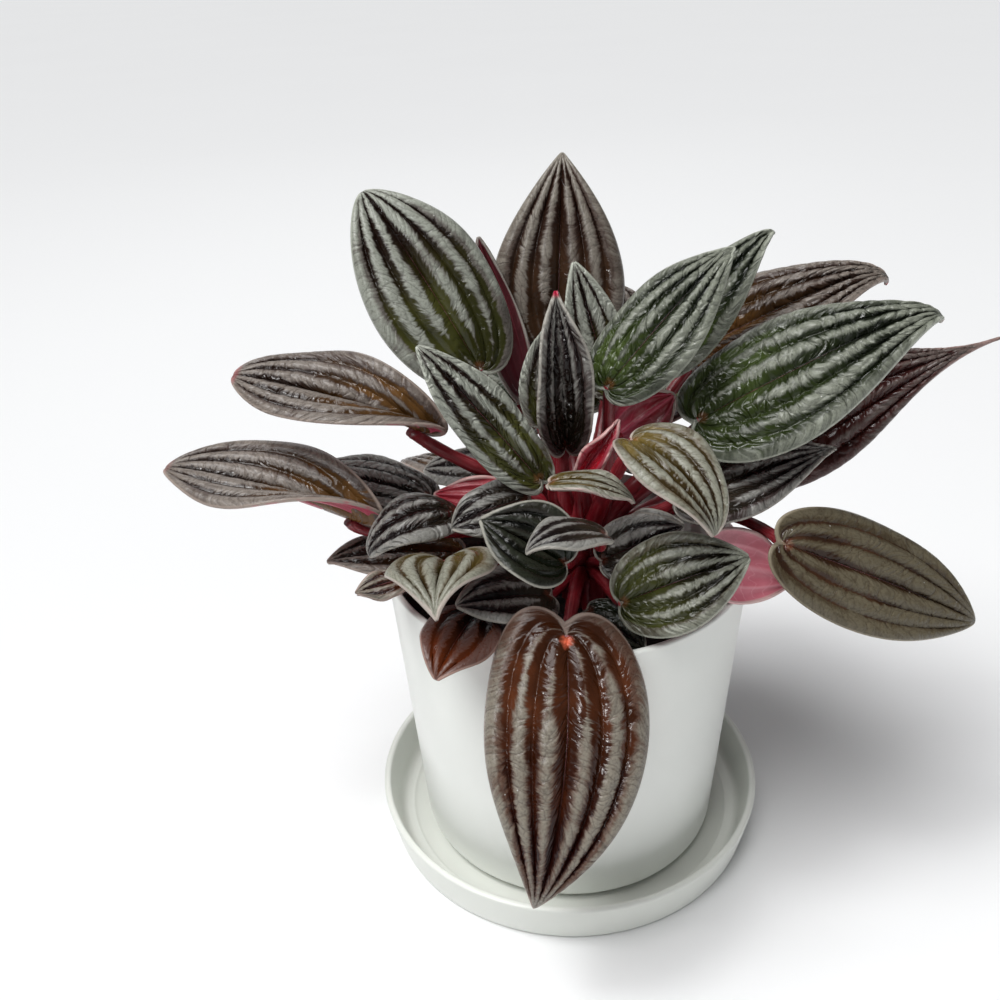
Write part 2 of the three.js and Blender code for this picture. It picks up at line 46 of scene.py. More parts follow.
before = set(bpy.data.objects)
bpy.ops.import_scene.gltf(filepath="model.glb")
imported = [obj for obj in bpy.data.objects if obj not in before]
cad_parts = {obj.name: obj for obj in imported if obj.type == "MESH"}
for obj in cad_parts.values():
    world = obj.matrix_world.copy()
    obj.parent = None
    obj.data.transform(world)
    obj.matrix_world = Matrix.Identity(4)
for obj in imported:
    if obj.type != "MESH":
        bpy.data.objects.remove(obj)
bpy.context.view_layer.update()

# The leaves and stalks are laid out in millimetres, as in the part's own source.
MM = 0.001

# The shape of a leaf where its own line says nothing else. Its midrib turns by bend degrees, a share hook of
# them near the tip, and veers aside. Its halves rise by fold degrees, by cup more at the joint, and then curl
# down. point sharpens the tip, lobe deepens the lobes, and sway bows the stalk. crinkle, cover, star and
# red_tip say how strong the cross creases, the silver, the star at the joint and the red of the tip are.
USUAL = {"bend": 15, "hook": 0.3, "fold": 10, "cup": 0, "curl": -20, "point": 0.9, "lobe": 1, "veer": 0,
         "sway": (0, 0, 0), "crinkle": 0.5, "cover": 0, "star": 0.1, "red_tip": 0}


def leaf(name, base, tip, width, face, tint, **shape):
    """One leaf: its joint, tip, width and facing, its colouring, and what is unusual in its shape."""
    placed = {"name": name, "base": base, "tip": tip, "width": width, "face": face, "tint": tint}
    return {**USUAL, **placed, **shape}


LEAVES = [
    leaf("left_tall", (-23.5, 5, 152), (-54, 24, 195), 36, (2, -8, 5), "silver",
         bend=50, hook=0.6, fold=8, curl=-28, point=0.85, crinkle=0.2),
    leaf("left_tall_behind", (-12, 16, 140), (-24, 33, 180), 12, (-3, 7, 3), "plum", bend=15),
    leaf("back_tall", (-2, 30, 148), (0, 50, 199), 38, (0, -9, 3), "slate",
         bend=40, hook=0.7, fold=6, point=1.15, crinkle=0.15),
    leaf("back_pale", (13, 16, 140), (3, 26, 174), 16, (0, -9, 4), "silver", bend=10, fold=12, cover=0.1),
    leaf("middle_folded", (0, -6, 134), (-2, -3, 175), 24, (1, -9, 1), "plum",
         bend=8, fold=55, curl=-10, crinkle=0.7, cover=-0.1, red_tip=1),
    leaf("middle_silver", (-5.5, 3, 136), (-3, 6, 164), 15, (-2, -9, 1), "silver",
         bend=10, fold=15, crinkle=0.8),
    leaf("right_tall", (12, -8, 151.5), (44, 8, 182), 24, (-3, -8, 5), "pewter",
         bend=40, hook=0.6, fold=8, curl=-30, point=1.1, crinkle=0.7, cover=0.02),
    leaf("right_tall_behind", (26, 12, 150), (57, 25, 181), 20, (-3, -8, 5), "pewter",
         bend=100, hook=0.85, fold=8, curl=-30, point=1.3, crinkle=0.9, cover=0.02),
    leaf("middle_front", (-7, -25, 133), (-36, -20, 167), 17, (1, -8, 5), "silver",
         bend=40, hook=0.6, fold=6, curl=-40, crinkle=0.9),
    leaf("left_middle", (-41, -5, 138), (-90, 0, 152), 28.5, (0, -4, 9), "taupe",
         bend=30, hook=0.5, cup=82, curl=-25, point=0.7, lobe=2, crinkle=0.35, cover=0.05, red_tip=0.35),
    leaf("left_low", (-59, -15, 115.5), (-110, -10, 129), 31, (0, -2, 9), "taupe",
         bend=30, hook=0.5, cup=88, point=0.75, lobe=2, crinkle=0.25, cover=0.1, star=0, red_tip=0.15),
    leaf("left_striped", (-40, 0, 114), (-78, 8, 118), 23, (0, -3, 9), "plum",
         bend=30, fold=5, curl=-30, crinkle=0.6, cover=0.3),
    leaf("left_dark_behind", (-19, 18, 114), (-44, 29, 108), 20, (0, -3, 9), "plum", bend=20, cover=0.15),
    leaf("left_red_underside", (-14, -13, 121), (-36, -11, 121), 11, (0, 6, -4), "red", bend=20),
    leaf("left_rolled", (-30, -18, 119), (-52, -27, 111), 20, (-3, -3, 9), "plum",
         bend=120, hook=0.2, fold=5, curl=-30, crinkle=1),
    leaf("left_under_rolled", (-31, -8, 100), (-66, -19, 104), 20, (0, -2, 9), "taupe", bend=25),
    leaf("front_bow", (-31, -36, 114), (-31, -58, 112), 30, (-1, -2, 9), "sage",
         bend=60, fold=35, curl=-60, point=1.4, crinkle=0.1, cover=0.2),
    leaf("front_dark_tip", (-5, -30, 100), (-28, -42, 105), 20, (0, -4, 9), "plum", bend=30, crinkle=0.3),
    leaf("front_brown", (-24, -38, 99), (-32, -59, 95), 20, (0, -4, 9), "rust",
         bend=60, hook=0.5, crinkle=0.1, cover=0.1),
    leaf("front_hanging", (0, -50.5, 100), (-9, -77, 36), 42, (0, -9, 4), "brown",
         bend=60, hook=0.25, fold=4, curl=-30, point=1.25, lobe=1.4, veer=-0.045, crinkle=0.3, cover=0.04,
         star=1),
    leaf("front_cupped", (-1, -40, 117), (-21, -38, 128), 24, (0, -7, 7), "moss",
         bend=20, fold=40, crinkle=0.3),
    leaf("front_curved", (9, -46, 128), (-9, -54, 128), 13, (0, -1, 9), "plum", bend=90, crinkle=0.2),
    leaf("front_arch", (-3, -28, 133), (17, -32, 129), 10, (0, -1, 9), "sage", bend=80, cover=0.2),
    leaf("front_ribbed", (-10, -26, 127), (-29, -30, 121), 16, (0, -5, 8), "plum", bend=60, crinkle=1),
    leaf("young_red", (4, -14, 128), (14, -14, 144), 10, (0, -9, 2), "red", bend=10, fold=55),
    leaf("front_small_dark", (6, -33, 97), (20, -43, 92), 14, (0, -5, 8), "moss", bend=30),
    leaf("front_withered", (-42, -32, 107), (-55, -36, 105), 9, (0, -5, 8), "brown", bend=20),
    leaf("front_round", (15, -40, 105), (45, -40, 118), 25.5, (0, -7, 7), "olive",
         bend=25, fold=12, crinkle=0.6),
    leaf("right_pink_underside", (37, -26, 109), (63, -20, 99), 20, (0, 7, -5), "rose", bend=20),
    leaf("right_small_round", (10, -28, 110), (30, -28, 120), 17, (0, -7, 7), "plum", bend=20),
    leaf("right_small_striped", (16, -19, 110), (31, -22, 117), 14, (0, -7, 6), "plum", bend=20),
    leaf("right_arched", (17, -28, 144), (35, -45, 127.5), 22, (2, -4, 9), "sage",
         bend=100, fold=25, curl=-30, crinkle=0.3, cover=0.05),
    leaf("right_red_underside", (15, 2, 132), (30, 4, 143), 17, (0, 8, -2), "taupe", bend=10),
    leaf("right_long", (37, -5, 140), (98, 5, 162), 37, (-1, -6, 8), "pewter",
         bend=105, hook=0.9, fold=6, curl=-35, point=1.35, crinkle=0.8, cover=0.02, red_tip=1),
    leaf("right_upper", (39, 25, 148), (92, 35, 163), 31, (0, -5, 8), "taupe",
         bend=110, hook=0.88, point=1.4, crinkle=0.8, cover=0.05, red_tip=1),
    leaf("right_far", (50, 18, 124), (125, 30, 148), 46, (0, -6, 5), "umber",
         bend=10, fold=0, curl=-60, point=2.3, crinkle=0.6, cover=-0.1),
    leaf("right_plum", (31, -15, 121), (74, 0, 128), 23, (0, -6, 7), "plum",
         bend=25, hook=0.5, fold=15, point=1.3, crinkle=0.8),
    leaf("right_low", (58.5, -22, 110.5), (114, -15, 81), 31, (-1, -7, 7), "bronze",
         bend=25, hook=0.4, fold=6, sway=(0, 14, 4), crinkle=0.3, cover=0.35),
    leaf("rear_left_low", (-28, 38, 102), (-56, 66, 92), 28, (0, 2, 9), "taupe", bend=30),
    leaf("rear_left", (-14, 34, 118), (-36, 72, 116), 31, (0, 1, 9), "silver", bend=30),
    leaf("rear_middle", (4, 36, 126), (6, 78, 138), 29, (0, 0, 9), "silver", bend=30),
    leaf("rear_right", (22, 36, 120), (46, 72, 122), 31, (0, 1, 9), "taupe", bend=30),
    leaf("rear_right_low", (40, 30, 106), (74, 52, 96), 28, (0, 2, 9), "olive", bend=30),
    leaf("rear_upper_left", (-15, 26, 132), (-38, 50, 132), 26, (-1, 2, 9), "pewter", bend=35),
    leaf("rear_upper_middle", (13, 28, 140), (16, 62, 156), 26, (0, 1, 9), "taupe", bend=35),
    leaf("rear_upper_right", (24, 30, 128), (50, 54, 138), 26, (1, 1, 9), "pewter", bend=35),
    leaf("rear_hanging", (-2, 50, 104), (-6, 76, 52), 36, (0, 9, 4), "brown",
         bend=40, hook=0, fold=4, curl=-30, point=1.05),
    leaf("rear_low", (26, 40, 101), (44, 76, 88), 24, (0, 4, 9), "plum", bend=30),
    leaf("left_rear", (-38, 14, 103), (-78, 26, 97), 24, (0, 0, 9), "olive", bend=25),
]


class Tint(NamedTuple):
    """The colours of a leaf."""

    # The silver is the leaf's own silver, brightened in the middle of each crest as a painted highlight and
    # sheen; the mauve is darkened on the flanks as painted shade.
    silver: tuple  # the crests of the ribs
    mauve: tuple  # the flanks of the ribs
    # The grooves are the leaf's own dark colours, deepened as painted shade.
    dark: tuple  # the grooves towards the tip
    green: tuple  # the grooves near the joint
    margin: tuple
    wine: tuple  # the underside
    pink: tuple  # the veins on both sides, and the underside near the joint


# The underside and the veins that several colourings share.
DEEP_WINE = ((0.1, 0.006, 0.012), (0.34, 0.07, 0.1))
WARM_WINE = ((0.12, 0.01, 0.013), (0.36, 0.1, 0.11))

# Each colouring, in the order of the colours of Tint.
TINTS = {
    "silver": ((0.325, 0.34, 0.29), (0.135, 0.12, 0.105), (0.01, 0.004, 0.002), (0.027, 0.028, 0.005),
               (0.46, 0.48, 0.41), (0.11, 0.006, 0.012), (0.36, 0.08, 0.11)),
    "pewter": ((0.24, 0.254, 0.205), (0.066, 0.074, 0.052), (0.006, 0.008, 0.004), (0.02, 0.03, 0.006),
               (0.42, 0.44, 0.37), *DEEP_WINE),
    "slate": ((0.245, 0.22, 0.185), (0.105, 0.076, 0.062), (0.018, 0.007, 0.004), (0.026, 0.012, 0.005),
              (0.26, 0.24, 0.2), *DEEP_WINE),
    "sage": ((0.275, 0.275, 0.22), (0.14, 0.115, 0.075), (0.026, 0.015, 0.005), (0.058, 0.04, 0.009),
             (0.5, 0.43, 0.38), (0.18, 0.025, 0.03), (0.42, 0.16, 0.17)),
    "taupe": ((0.22, 0.188, 0.162), (0.084, 0.058, 0.048), (0.016, 0.007, 0.004), (0.055, 0.025, 0.006),
              (0.36, 0.29, 0.25), (0.2, 0.006, 0.014), (0.48, 0.07, 0.12)),
    "plum": ((0.25, 0.245, 0.225), (0.052, 0.036, 0.033), (0.007, 0.003, 0.003), (0.01, 0.007, 0.004),
             (0.36, 0.34, 0.3), (0.05, 0.003, 0.005), (0.13, 0.02, 0.03)),
    "olive": ((0.25, 0.258, 0.208), (0.075, 0.066, 0.042), (0.009, 0.007, 0.003), (0.02, 0.022, 0.004),
              (0.4, 0.41, 0.34), (0.13, 0.015, 0.02), (0.46, 0.12, 0.17)),
    # This colouring is a dark olive darkened almost to black as painted shade, for leaves among the others in
    # the middle of the plant.
    "moss": ((0.022, 0.025, 0.016), (0.016, 0.013, 0.009), (0.003, 0.003, 0.002), (0.004, 0.006, 0.002),
             (0.38, 0.37, 0.32), (0.09, 0.004, 0.008), (0.28, 0.05, 0.075)),
    "bronze": ((0.12, 0.102, 0.066), (0.066, 0.048, 0.026), (0.02, 0.009, 0.003), (0.026, 0.011, 0.005),
               (0.28, 0.24, 0.17), (0.12, 0.01, 0.013), (0.42, 0.12, 0.15)),
    "brown": ((0.245, 0.22, 0.178), (0.105, 0.056, 0.038), (0.015, 0.002, 0.001), (0.036, 0.009, 0.002),
              (0.34, 0.26, 0.22), *WARM_WINE),
    "umber": ((0.115, 0.09, 0.08), (0.07, 0.026, 0.023), (0.026, 0.007, 0.006), (0.034, 0.008, 0.006),
              (0.3, 0.2, 0.18), *DEEP_WINE),
    "rust": ((0.125, 0.068, 0.056), (0.115, 0.03, 0.01), (0.09, 0.018, 0.004), (0.008, 0.003, 0.002),
             (0.38, 0.25, 0.21), *WARM_WINE),
    "rose": ((0.205, 0.175, 0.145), (0.085, 0.054, 0.046), (0.018, 0.008, 0.005), (0.06, 0.028, 0.007),
             (0.6, 0.42, 0.4), (0.5, 0.12, 0.165), (0.7, 0.34, 0.38)),
    "red": ((0.34, 0.05, 0.07), (0.34, 0.02, 0.04), (0.24, 0.006, 0.014), (0.2, 0.005, 0.011),
            (0.58, 0.36, 0.34), (0.28, 0.008, 0.018), (0.4, 0.04, 0.07)),
}


def length_setting(name, description, default):
    """A length in metres that the sidebar shows."""
    return bpy.props.FloatProperty(name=name, description=description, default=default, unit="LENGTH")


def colour_setting(name, description, default):
    """A colour that the sidebar shows."""
    return bpy.props.FloatVectorProperty(
        name=name, description=description, default=default, size=3, subtype="COLOR")


class SaucerSizes(bpy.types.PropertyGroup):
    """Sizes and colour of the saucer."""

    foot_radius: length_setting("Foot radius", "Radius of the flat underside", 0.0577)
    rim_radius: length_setting("Rim radius", "Outer radius at the rim", 0.0607)
    rim_height: length_setting("Height", "Height of the rim above the ground", 0.0144)
    wall: length_setting("Wall", "Thickness of the wall", 0.0022)
    floor: length_setting("Floor", "Thickness of the floor", 0.003)
    step_radius: length_setting("Step radius", "Radius of the shallow seat for the pot", 0.0505)
    step_rise: length_setting("Step", "Depth of the seat for the pot", 0.0007)
    colour: colour_setting("Colour", "Colour of the plastic", (0.77, 0.79, 0.74))


class PotSizes(bpy.types.PropertyGroup):
    """Sizes and colour of the pot."""

    rim_radius: length_setting("Rim radius", "Outer radius at the rim", 0.0525)
    rim_height: length_setting("Height", "Height of the rim above the ground", 0.096)
    foot_radius: length_setting("Foot radius", "Outer radius just above the foot", 0.0462)
    underside: length_setting("Underside", "Height of the underside above the ground", 0.0026)
    wall: length_setting("Wall", "Thickness of the wall", 0.002)
    floor: length_setting("Floor", "Thickness of the floor", 0.0025)
    colour: colour_setting("Colour", "Colour of the plastic", (0.86, 0.88, 0.84))


class SoilSizes(bpy.types.PropertyGroup):
    """Sizes and colour of the potting mix."""

    height: length_setting("Height", "Height of the middle of the mound", 0.085)
    mound: length_setting("Mound", "How much higher the middle is than the edge", 0.003)
    lumps: length_setting("Lumps", "Height of the lumps", 0.0022)
    colour: colour_setting("Colour", "Colour of the damp mix", (0.008, 0.005, 0.004))


class StalkSizes(bpy.types.PropertyGroup):
    """Sizes and colour of the crown and its stalks."""

    radius: length_setting("Radius", "Radius of a large leaf's stalk", 0.0017)
    thin_radius: length_setting("Thin radius", "Radius of a small leaf's stalk", 0.0011)
    swelling: bpy.props.FloatProperty(
        name="Swelling", description="How much thicker a stalk is at its foot", default=0.8, min=0, max=1)
    colour: colour_setting("Colour", "Colour of the stalks", (0.2, 0.005, 0.012))


class BladeSizes(bpy.types.PropertyGroup):
    """Sizes shared by all the leaf blades."""

    thickness: length_setting("Thickness", "Thickness of a blade", 0.0009)
    rib_height: bpy.props.FloatProperty(
        name="Ribs", description="Height of the ribs as a share of the blade's width", default=0.056)
    pucker: bpy.props.FloatProperty(
        name="Pucker", description="How deep the cross creases cut into the ribs", default=0.65, min=0, max=1)
    crease_gap: length_setting("Creases", "Distance between the cross creases", 0.0042)
    mesh_step: length_setting("Mesh step", "Distance between the lines of the mesh", 0.0006)


class StageSettings(bpy.types.PropertyGroup):
    """The pale floor, the lights and the camera."""

    floor_colour: colour_setting("Floor", "Colour of the floor", (0.88, 0.885, 0.89))
    light: bpy.props.FloatProperty(
        name="Light", description="Strength of the window lamp, in watts", default=2, min=0)
    lens: bpy.props.FloatProperty(
        name="Lens", description="Focal length in millimetres on a 36 mm frame", default=37.44)


GROUPS = {
    "peperomia_saucer": SaucerSizes,
    "peperomia_pot": PotSizes,
    "peperomia_soil": SoilSizes,
    "peperomia_stalks": StalkSizes,
    "peperomia_blades": BladeSizes,
    "peperomia_stage": StageSettings,
}


def clamp(value, low, high):
    return max(low, min(high, value))


def blend(first, second, share):
    return first + (second - first) * share


def ease(value, low, high):
    """0 below low, 1 above high and smooth between them."""
    share = clamp((value - low) / (high - low), 0, 1)
    return share * share * (3 - 2 * share)


class Finish:
    """A material whose nodes are added one by one with their links."""

    def __init__(self, name):
        self.material = bpy.data.materials.new(name)
        self.material.use_nodes = True
        self.nodes = self.material.node_tree.nodes
        self.links = self.material.node_tree.links
        self.surface = self.nodes["Principled BSDF"]
        # Object coordinates, in metres.
        self.where = self.add("TexCoord", output="Object")

    def feed(self, socket, value):
        if isinstance(value, bpy.types.NodeSocket):
            self.links.new(value, socket)
        elif socket.type == "RGBA" and len(value) == 3:
            socket.default_value = (*value, 1)
        else:
            socket.default_value = value

    def add(self, kind, inputs=None, output=0, **settings):
        node = self.nodes.new("ShaderNode" + kind)
        for name, value in settings.items():
            setattr(node, name, value)
        for socket, value in (inputs or {}).items():
            self.feed(node.inputs[socket], value)
        return node.outputs[output]

    def plus(self, first, second):
        return self.add("Math", {0: first, 1: second}, operation="ADD")

    def minus(self, first, second):
        return self.add("Math", {0: first, 1: second}, operation="SUBTRACT")

    def times(self, first, second):
        return self.add("Math", {0: first, 1: second}, operation="MULTIPLY")

    def fold(self, value, width):
        """value folded back and forth between 0 and width."""
        return self.add("Math", {0: value, 1: width}, operation="PINGPONG")

    def step(self, value, low, high, first=0, last=1):
        """first where value is below low, last where it is above high, and smooth between them."""
        inputs = {"Value": value, "From Min": low, "From Max": high, "To Min": first, "To Max": last}
        return self.add("MapRange", inputs, interpolation_type="SMOOTHSTEP")

    def mix(self, share, first, second):
        return self.add("Mix", {0: share, 6: first, 7: second}, output=2, data_type="RGBA")

    def vector(self, x, y, z):
        return self.add("CombineXYZ", {0: x, 1: y, 2: z})

    def noise(self, scale, detail=2, roughness=0.5, where=None):
        inputs = {"Vector": where or self.where, "Scale": scale, "Detail": detail, "Roughness": roughness}
        return self.add("TexNoise", inputs)

    def marks(self, name):
        """The three numbers of a named attribute."""
        vector = self.add("Attribute", output="Vector", attribute_name=name)
        split = self.nodes.new("ShaderNodeSeparateXYZ")
        self.links.new(vector, split.inputs[0])
        return split.outputs

    def bump(self, height, distance, strength):
        inputs = {"Height": height, "Distance": distance, "Strength": strength}
        self.feed(self.surface.inputs["Normal"], self.add("Bump", inputs))

    def set(self, **values):
        """Values of the surface's own sockets, with _ for a space in their names."""
        for name, value in values.items():
            self.feed(self.surface.inputs[name.replace("_", " ")], value)
        return self.material


def plastic(name, colour, roughness):
    """Satin moulded plastic: faint cloudy colour, upright drawing marks and a fine grain."""
    f = Finish(name)
    clouds = f.noise(scale=26, detail=3)
    f.set(Base_Color=f.mix(f.step(clouds, 0.3, 0.7), [c * 0.96 for c in colour], colour))
    stretch = f.add("Mapping", {"Vector": f.where, "Scale": (1, 1, 0.04)})
    lines = f.noise(scale=420, where=stretch)
    grain = f.noise(scale=2600, detail=1)
    smudges = f.noise(scale=60, detail=4)
    f.set(Roughness=f.step(smudges, 0.2, 0.8, roughness - 0.05, roughness + 0.07))
    f.bump(f.plus(lines, f.times(grain, 0.4)), distance=0.00006, strength=0.5)
    return f.set(Specular_IOR_Level=0.5)


def mix_finish(name, colour):
    """Damp potting mix: nearly black, with brown fibres and a wet glint here and there."""
    f = Finish(name)
    crumbs = f.noise(scale=900, detail=4, roughness=0.7)
    patches = f.noise(scale=160, detail=3)
    brown = [c * 3.2 for c in colour]
    dark = f.mix(f.step(patches, 0.35, 0.7), colour, brown)
    f.set(Base_Color=f.mix(f.step(crumbs, 0.45, 0.75), dark, [c * 5 for c in colour]))
    f.set(Roughness=f.step(patches, 0.3, 0.7, 0.55, 0.95))
    f.bump(crumbs, distance=0.0006, strength=0.9)
    return f.set(Specular_IOR_Level=0.35)


def stalk_finish(name, colour):
    """Fleshy red stalk: clear wine red with paler streaks along it and a soft gloss."""
    f = Finish(name)
    along, around, low = f.marks("stalk")
    streaks = f.vector(f.times(around, 9), f.times(along, 0.12), low)
    bands = f.noise(scale=1, detail=3, where=streaks)
    pale = [min(1, c * 1.5 + 0.06) for c in colour]
    deep = [c * 0.45 for c in colour]
    red = f.mix(f.step(bands, 0.45, 0.75), colour, pale)
    blotches = f.noise(scale=120)
    red = f.mix(f.step(blotches, 0.5, 0.75), red, deep)
    gloss = f.noise(scale=700)
    f.set(Base_Color=red, Roughness=f.step(gloss, 0.3, 0.7, 0.28, 0.42))
    grain = f.noise(scale=1500)
    f.bump(f.plus(bands, f.times(grain, 0.3)), distance=0.00012, strength=0.6)
    f.set(Subsurface_Weight=0.3, Subsurface_Radius=(1, 0.15, 0.15), Subsurface_Scale=0.002)
    return f.set(Specular_IOR_Level=0.55)


# The star at the joint, the hooked tip and the specks on a leaf have the same colour on every leaf.
STAR_RED = (0.8, 0.16, 0.08)
TIP_RED = (0.42, 0.015, 0.05)
SPECK_WHITE = (0.75, 0.75, 0.72)


def upper_finish(name, tint):
    """A blade's upper side: feathered silver ribs with cross creases between dark, glossy grooves."""
    dark = tint.dark
    f = Finish(name)
    across, crinkle, seed = f.marks("place_on_blade")
    crease, inset, from_joint = f.marks("blade_marks")
    rib, share, side = f.marks("blade_ribs")
    cover, star, red_tip = f.marks("blade_looks")
    broad = f.noise(scale=95)
    feathers = f.vector(f.times(rib, 1.1), f.times(crease, 4.2), f.plus(seed, f.times(side, 7)))
    feather = f.noise(scale=1, detail=2.5, roughness=0.6, where=feathers)
    cells = f.noise(scale=1500, detail=3, roughness=0.65)
    veins = f.vector(f.plus(f.times(rib, 1.7), f.times(side, 5)), f.times(crease, 1.5), seed)
    net = f.add("TexVoronoi", {"Vector": veins, "Scale": 1, "Randomness": 0.9}, feature="DISTANCE_TO_EDGE")
    # The silver covers the crest of each rib, most narrowly beside the midrib, and fades towards the joint.
    crest = f.times(f.fold(rib, 0.5), 2)
    crest = f.plus(crest, f.times(rib, 0.1))
    crest = f.plus(crest, f.times(f.minus(feather, 0.5), 0.85))
    crest = f.plus(crest, f.times(f.minus(broad, 0.5), 0.8))
    nearness = f.plus(share, f.times(f.minus(broad, 0.5), 0.35))
    crest = f.minus(crest, f.step(nearness, 0, 0.4, 0.45, 0))
    crest = f.plus(crest, cover)
    covered = f.step(crest, 0.5, 0.8)
    # Painted highlight and shade: each covered crest is silver in its middle and mauve on its flanks, so that
    # the ribs look round. The clouds also vary the tone at random, and the outermost rib is duller.
    clouds = f.noise(scale=60, detail=3)
    tone = f.times(f.minus(clouds, 0.5), 1.2)
    outer = f.step(rib, 1.9, 2.4, 0, 0.35)
    lit = f.minus(f.plus(crest, tone), outer)
    bright = f.mix(f.step(lit, 0.5, 1.05), tint.mauve, tint.silver)
    bright = f.mix(f.step(cells, 0.36, 0.6, 0.25, 0), bright, dark)
    bright = f.mix(f.step(net, 0.01, 0.07, 0.32, 0), bright, dark)
    # The clear skin glows in patches near the joint.
    clear = [2.6 * part + 0.004 for part in tint.green]
    spread = f.noise(scale=55)
    glow = f.mix(f.step(spread, 0.42, 0.66), tint.green, clear)
    # The grooves are the leaf's own dark colour deepened as painted shade, from the glowing patches near the
    # joint to near black towards the tip.
    shadow = f.mix(f.step(nearness, 0.15, 0.7), glow, dark)
    colour = f.mix(covered, shadow, bright)
    # Painted shade darkens the sharp creases that cross the ribs with the grooves' colour, and a fine pale
    # vein runs down the middle.
    line = f.step(f.fold(crease, 0.5), 0.01, 0.09, 1, 0)
    gaps = f.noise(scale=380)
    line = f.times(f.times(line, f.step(gaps, 0.46, 0.6)), f.step(crinkle, 0, 1, 0.45, 1))
    colour = f.mix(f.times(line, 0.55), colour, shadow)
    vein = f.times(f.step(across, 0.03, 0.15, 0.6, 0), f.step(share, 0.45, 0.8, 1, 0))
    colour = f.mix(vein, colour, tint.pink)
    # The thin margin, the star where the stalk joins, and the red tip.
    edge = f.step(f.plus(inset, f.times(cells, 0.25)), 0.3, 0.7, 0.9, 0)
    colour = f.mix(edge, colour, tint.margin)
    rays = f.noise(scale=900)
    spot = f.times(f.step(f.plus(from_joint, f.times(rays, 1.6)), 1.4, 3, 1, 0), star)
    colour = f.mix(spot, colour, STAR_RED)
    colour = f.mix(f.times(f.step(share, 0.955, 0.985), red_tip), colour, TIP_RED)
    # A few white specks of dust and lime.
    specks = f.add("TexVoronoi", {"Vector": f.where, "Scale": 210}, feature="F1")
    colour = f.mix(f.step(specks, 0.03, 0.042, 0.7, 0), colour, SPECK_WHITE)
    f.set(Base_Color=colour)
    gloss = f.step(covered, 0, 1, 0.2, 0.3)
    f.set(Roughness=f.plus(gloss, f.times(f.minus(cells, 0.5), 0.25)))
    pillow = f.times(f.step(net, 0, 0.3), f.step(crinkle, 0, 1, 0.2, 2.6))
    grain = f.times(cells, f.step(covered, 0, 1, 0.1, 0.45))
    height = f.plus(f.plus(pillow, grain), f.times(feather, 0.5))
    height = f.minus(height, f.times(line, 0.8))
    f.bump(height, distance=0.0002, strength=0.9)
    return f.set(Specular_IOR_Level=0.3)


def under_finish(name, tint):
    """A blade's underside: wine red to pink between raised veins, smooth and softly glossy."""
    pink = tint.pink
    f = Finish(name)
    crease, inset, _ = f.marks("blade_marks")
    rib, share, _ = f.marks("blade_ribs")
    groove = f.times(f.fold(rib, 0.5), 2)
    broad = f.noise(scale=70, detail=3)
    cells = f.noise(scale=1800)
    flush = f.plus(f.step(share, 0, 0.5, 0.55, 0), f.step(broad, 0.35, 0.7, 0, 0.4))
    colour = f.mix(flush, tint.wine, pink)
    colour = f.mix(f.step(groove, 0, 0.22, 0.55, 0), colour, pink)
    colour = f.mix(f.step(f.fold(crease, 0.5), 0, 0.08, 0.35, 0), colour, pink)
    colour = f.mix(f.step(inset, 0.2, 0.7, 0.8, 0), colour, tint.margin)
    f.set(Base_Color=colour, Roughness=f.step(cells, 0.3, 0.7, 0.3, 0.42))
    f.bump(f.plus(cells, f.step(groove, 0, 0.3, 1.5, 0)), distance=0.00012, strength=0.6)
    return f.set(Specular_IOR_Level=0.45)


def margin_finish(name, tint):
    """The pale rolled edge of a blade, a little uneven in colour."""
    f = Finish(name)
    tone = f.noise(scale=300)
    f.set(Base_Color=f.mix(f.step(tone, 0.45, 0.75, 0, 0.6), tint.margin, tint.pink))
    f.bump(f.noise(scale=1800), distance=0.0001, strength=0.5)
    return f.set(Roughness=0.4)


def placed(name, data):
    """Puts a mesh, a light or a camera into the scene and gives its object."""
    thing = bpy.data.objects.new(name, data)
    bpy.context.scene.collection.objects.link(thing)
    return thing


def shown(bm, name, materials):
    """Puts a bmesh into the scene with its materials and gives its object."""
    mesh = bpy.data.meshes.new(name)
    bm.to_mesh(mesh)
    bm.free()
    for material in materials:
        mesh.materials.append(material)
    return placed(name, mesh)


def finished(bm, name, node, materials):
    """Makes a bmesh the smooth visible piece that stands for a CAD node, with its finish in slot."""
    for face in bm.faces:
        face.smooth = True
    piece = shown(bm, name, materials)
    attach(piece, "root")
    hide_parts(node)
    return piece


# How near two points must lie to be one point, and a point must lie to a ring to be on it.
SAME_PLACE, ON_RING = 1e-6, 1e-5


def spun(profile, steps):
    """A closed body of revolution about the pot's axis from its outline of radii and heights."""
    bm = bmesh.new()
    corners = [bm.verts.new((radius, 0, height)) for radius, height in profile]
    edges = [bm.edges.new(pair) for pair in zip(corners, corners[1:])]
    bmesh.ops.spin(bm, geom=corners + edges, cent=(0, 0, 0), axis=(0, 0, 1), angle=math.tau,
                   steps=steps, use_merge=True)
    bmesh.ops.remove_doubles(bm, verts=bm.verts, dist=SAME_PLACE)
    bmesh.ops.recalc_face_normals(bm, faces=bm.faces)
    return bm


def round_ring(bm, radius, height, rounding, segments):
    """Rounds the ring of edges that lies at one radius and height."""
    def on_ring(vertex):
        return abs(vertex.co.xy.length - radius) < ON_RING and abs(vertex.co.z - height) < ON_RING
    ring = [edge for edge in bm.edges if on_ring(edge.verts[0]) and on_ring(edge.verts[1])]
    if not ring:
        raise RuntimeError(f"no ring of edges at radius {radius} and height {height}")
    bmesh.ops.bevel(bm, geom=ring, offset=rounding, offset_type="WIDTH", segments=segments, profile=0.5,
                    affect="EDGES", material=-1)


def open_edges(points):
    """The edges at points that have a face on one side only."""
    return list({e for v in points for e in v.link_edges if e.is_boundary})


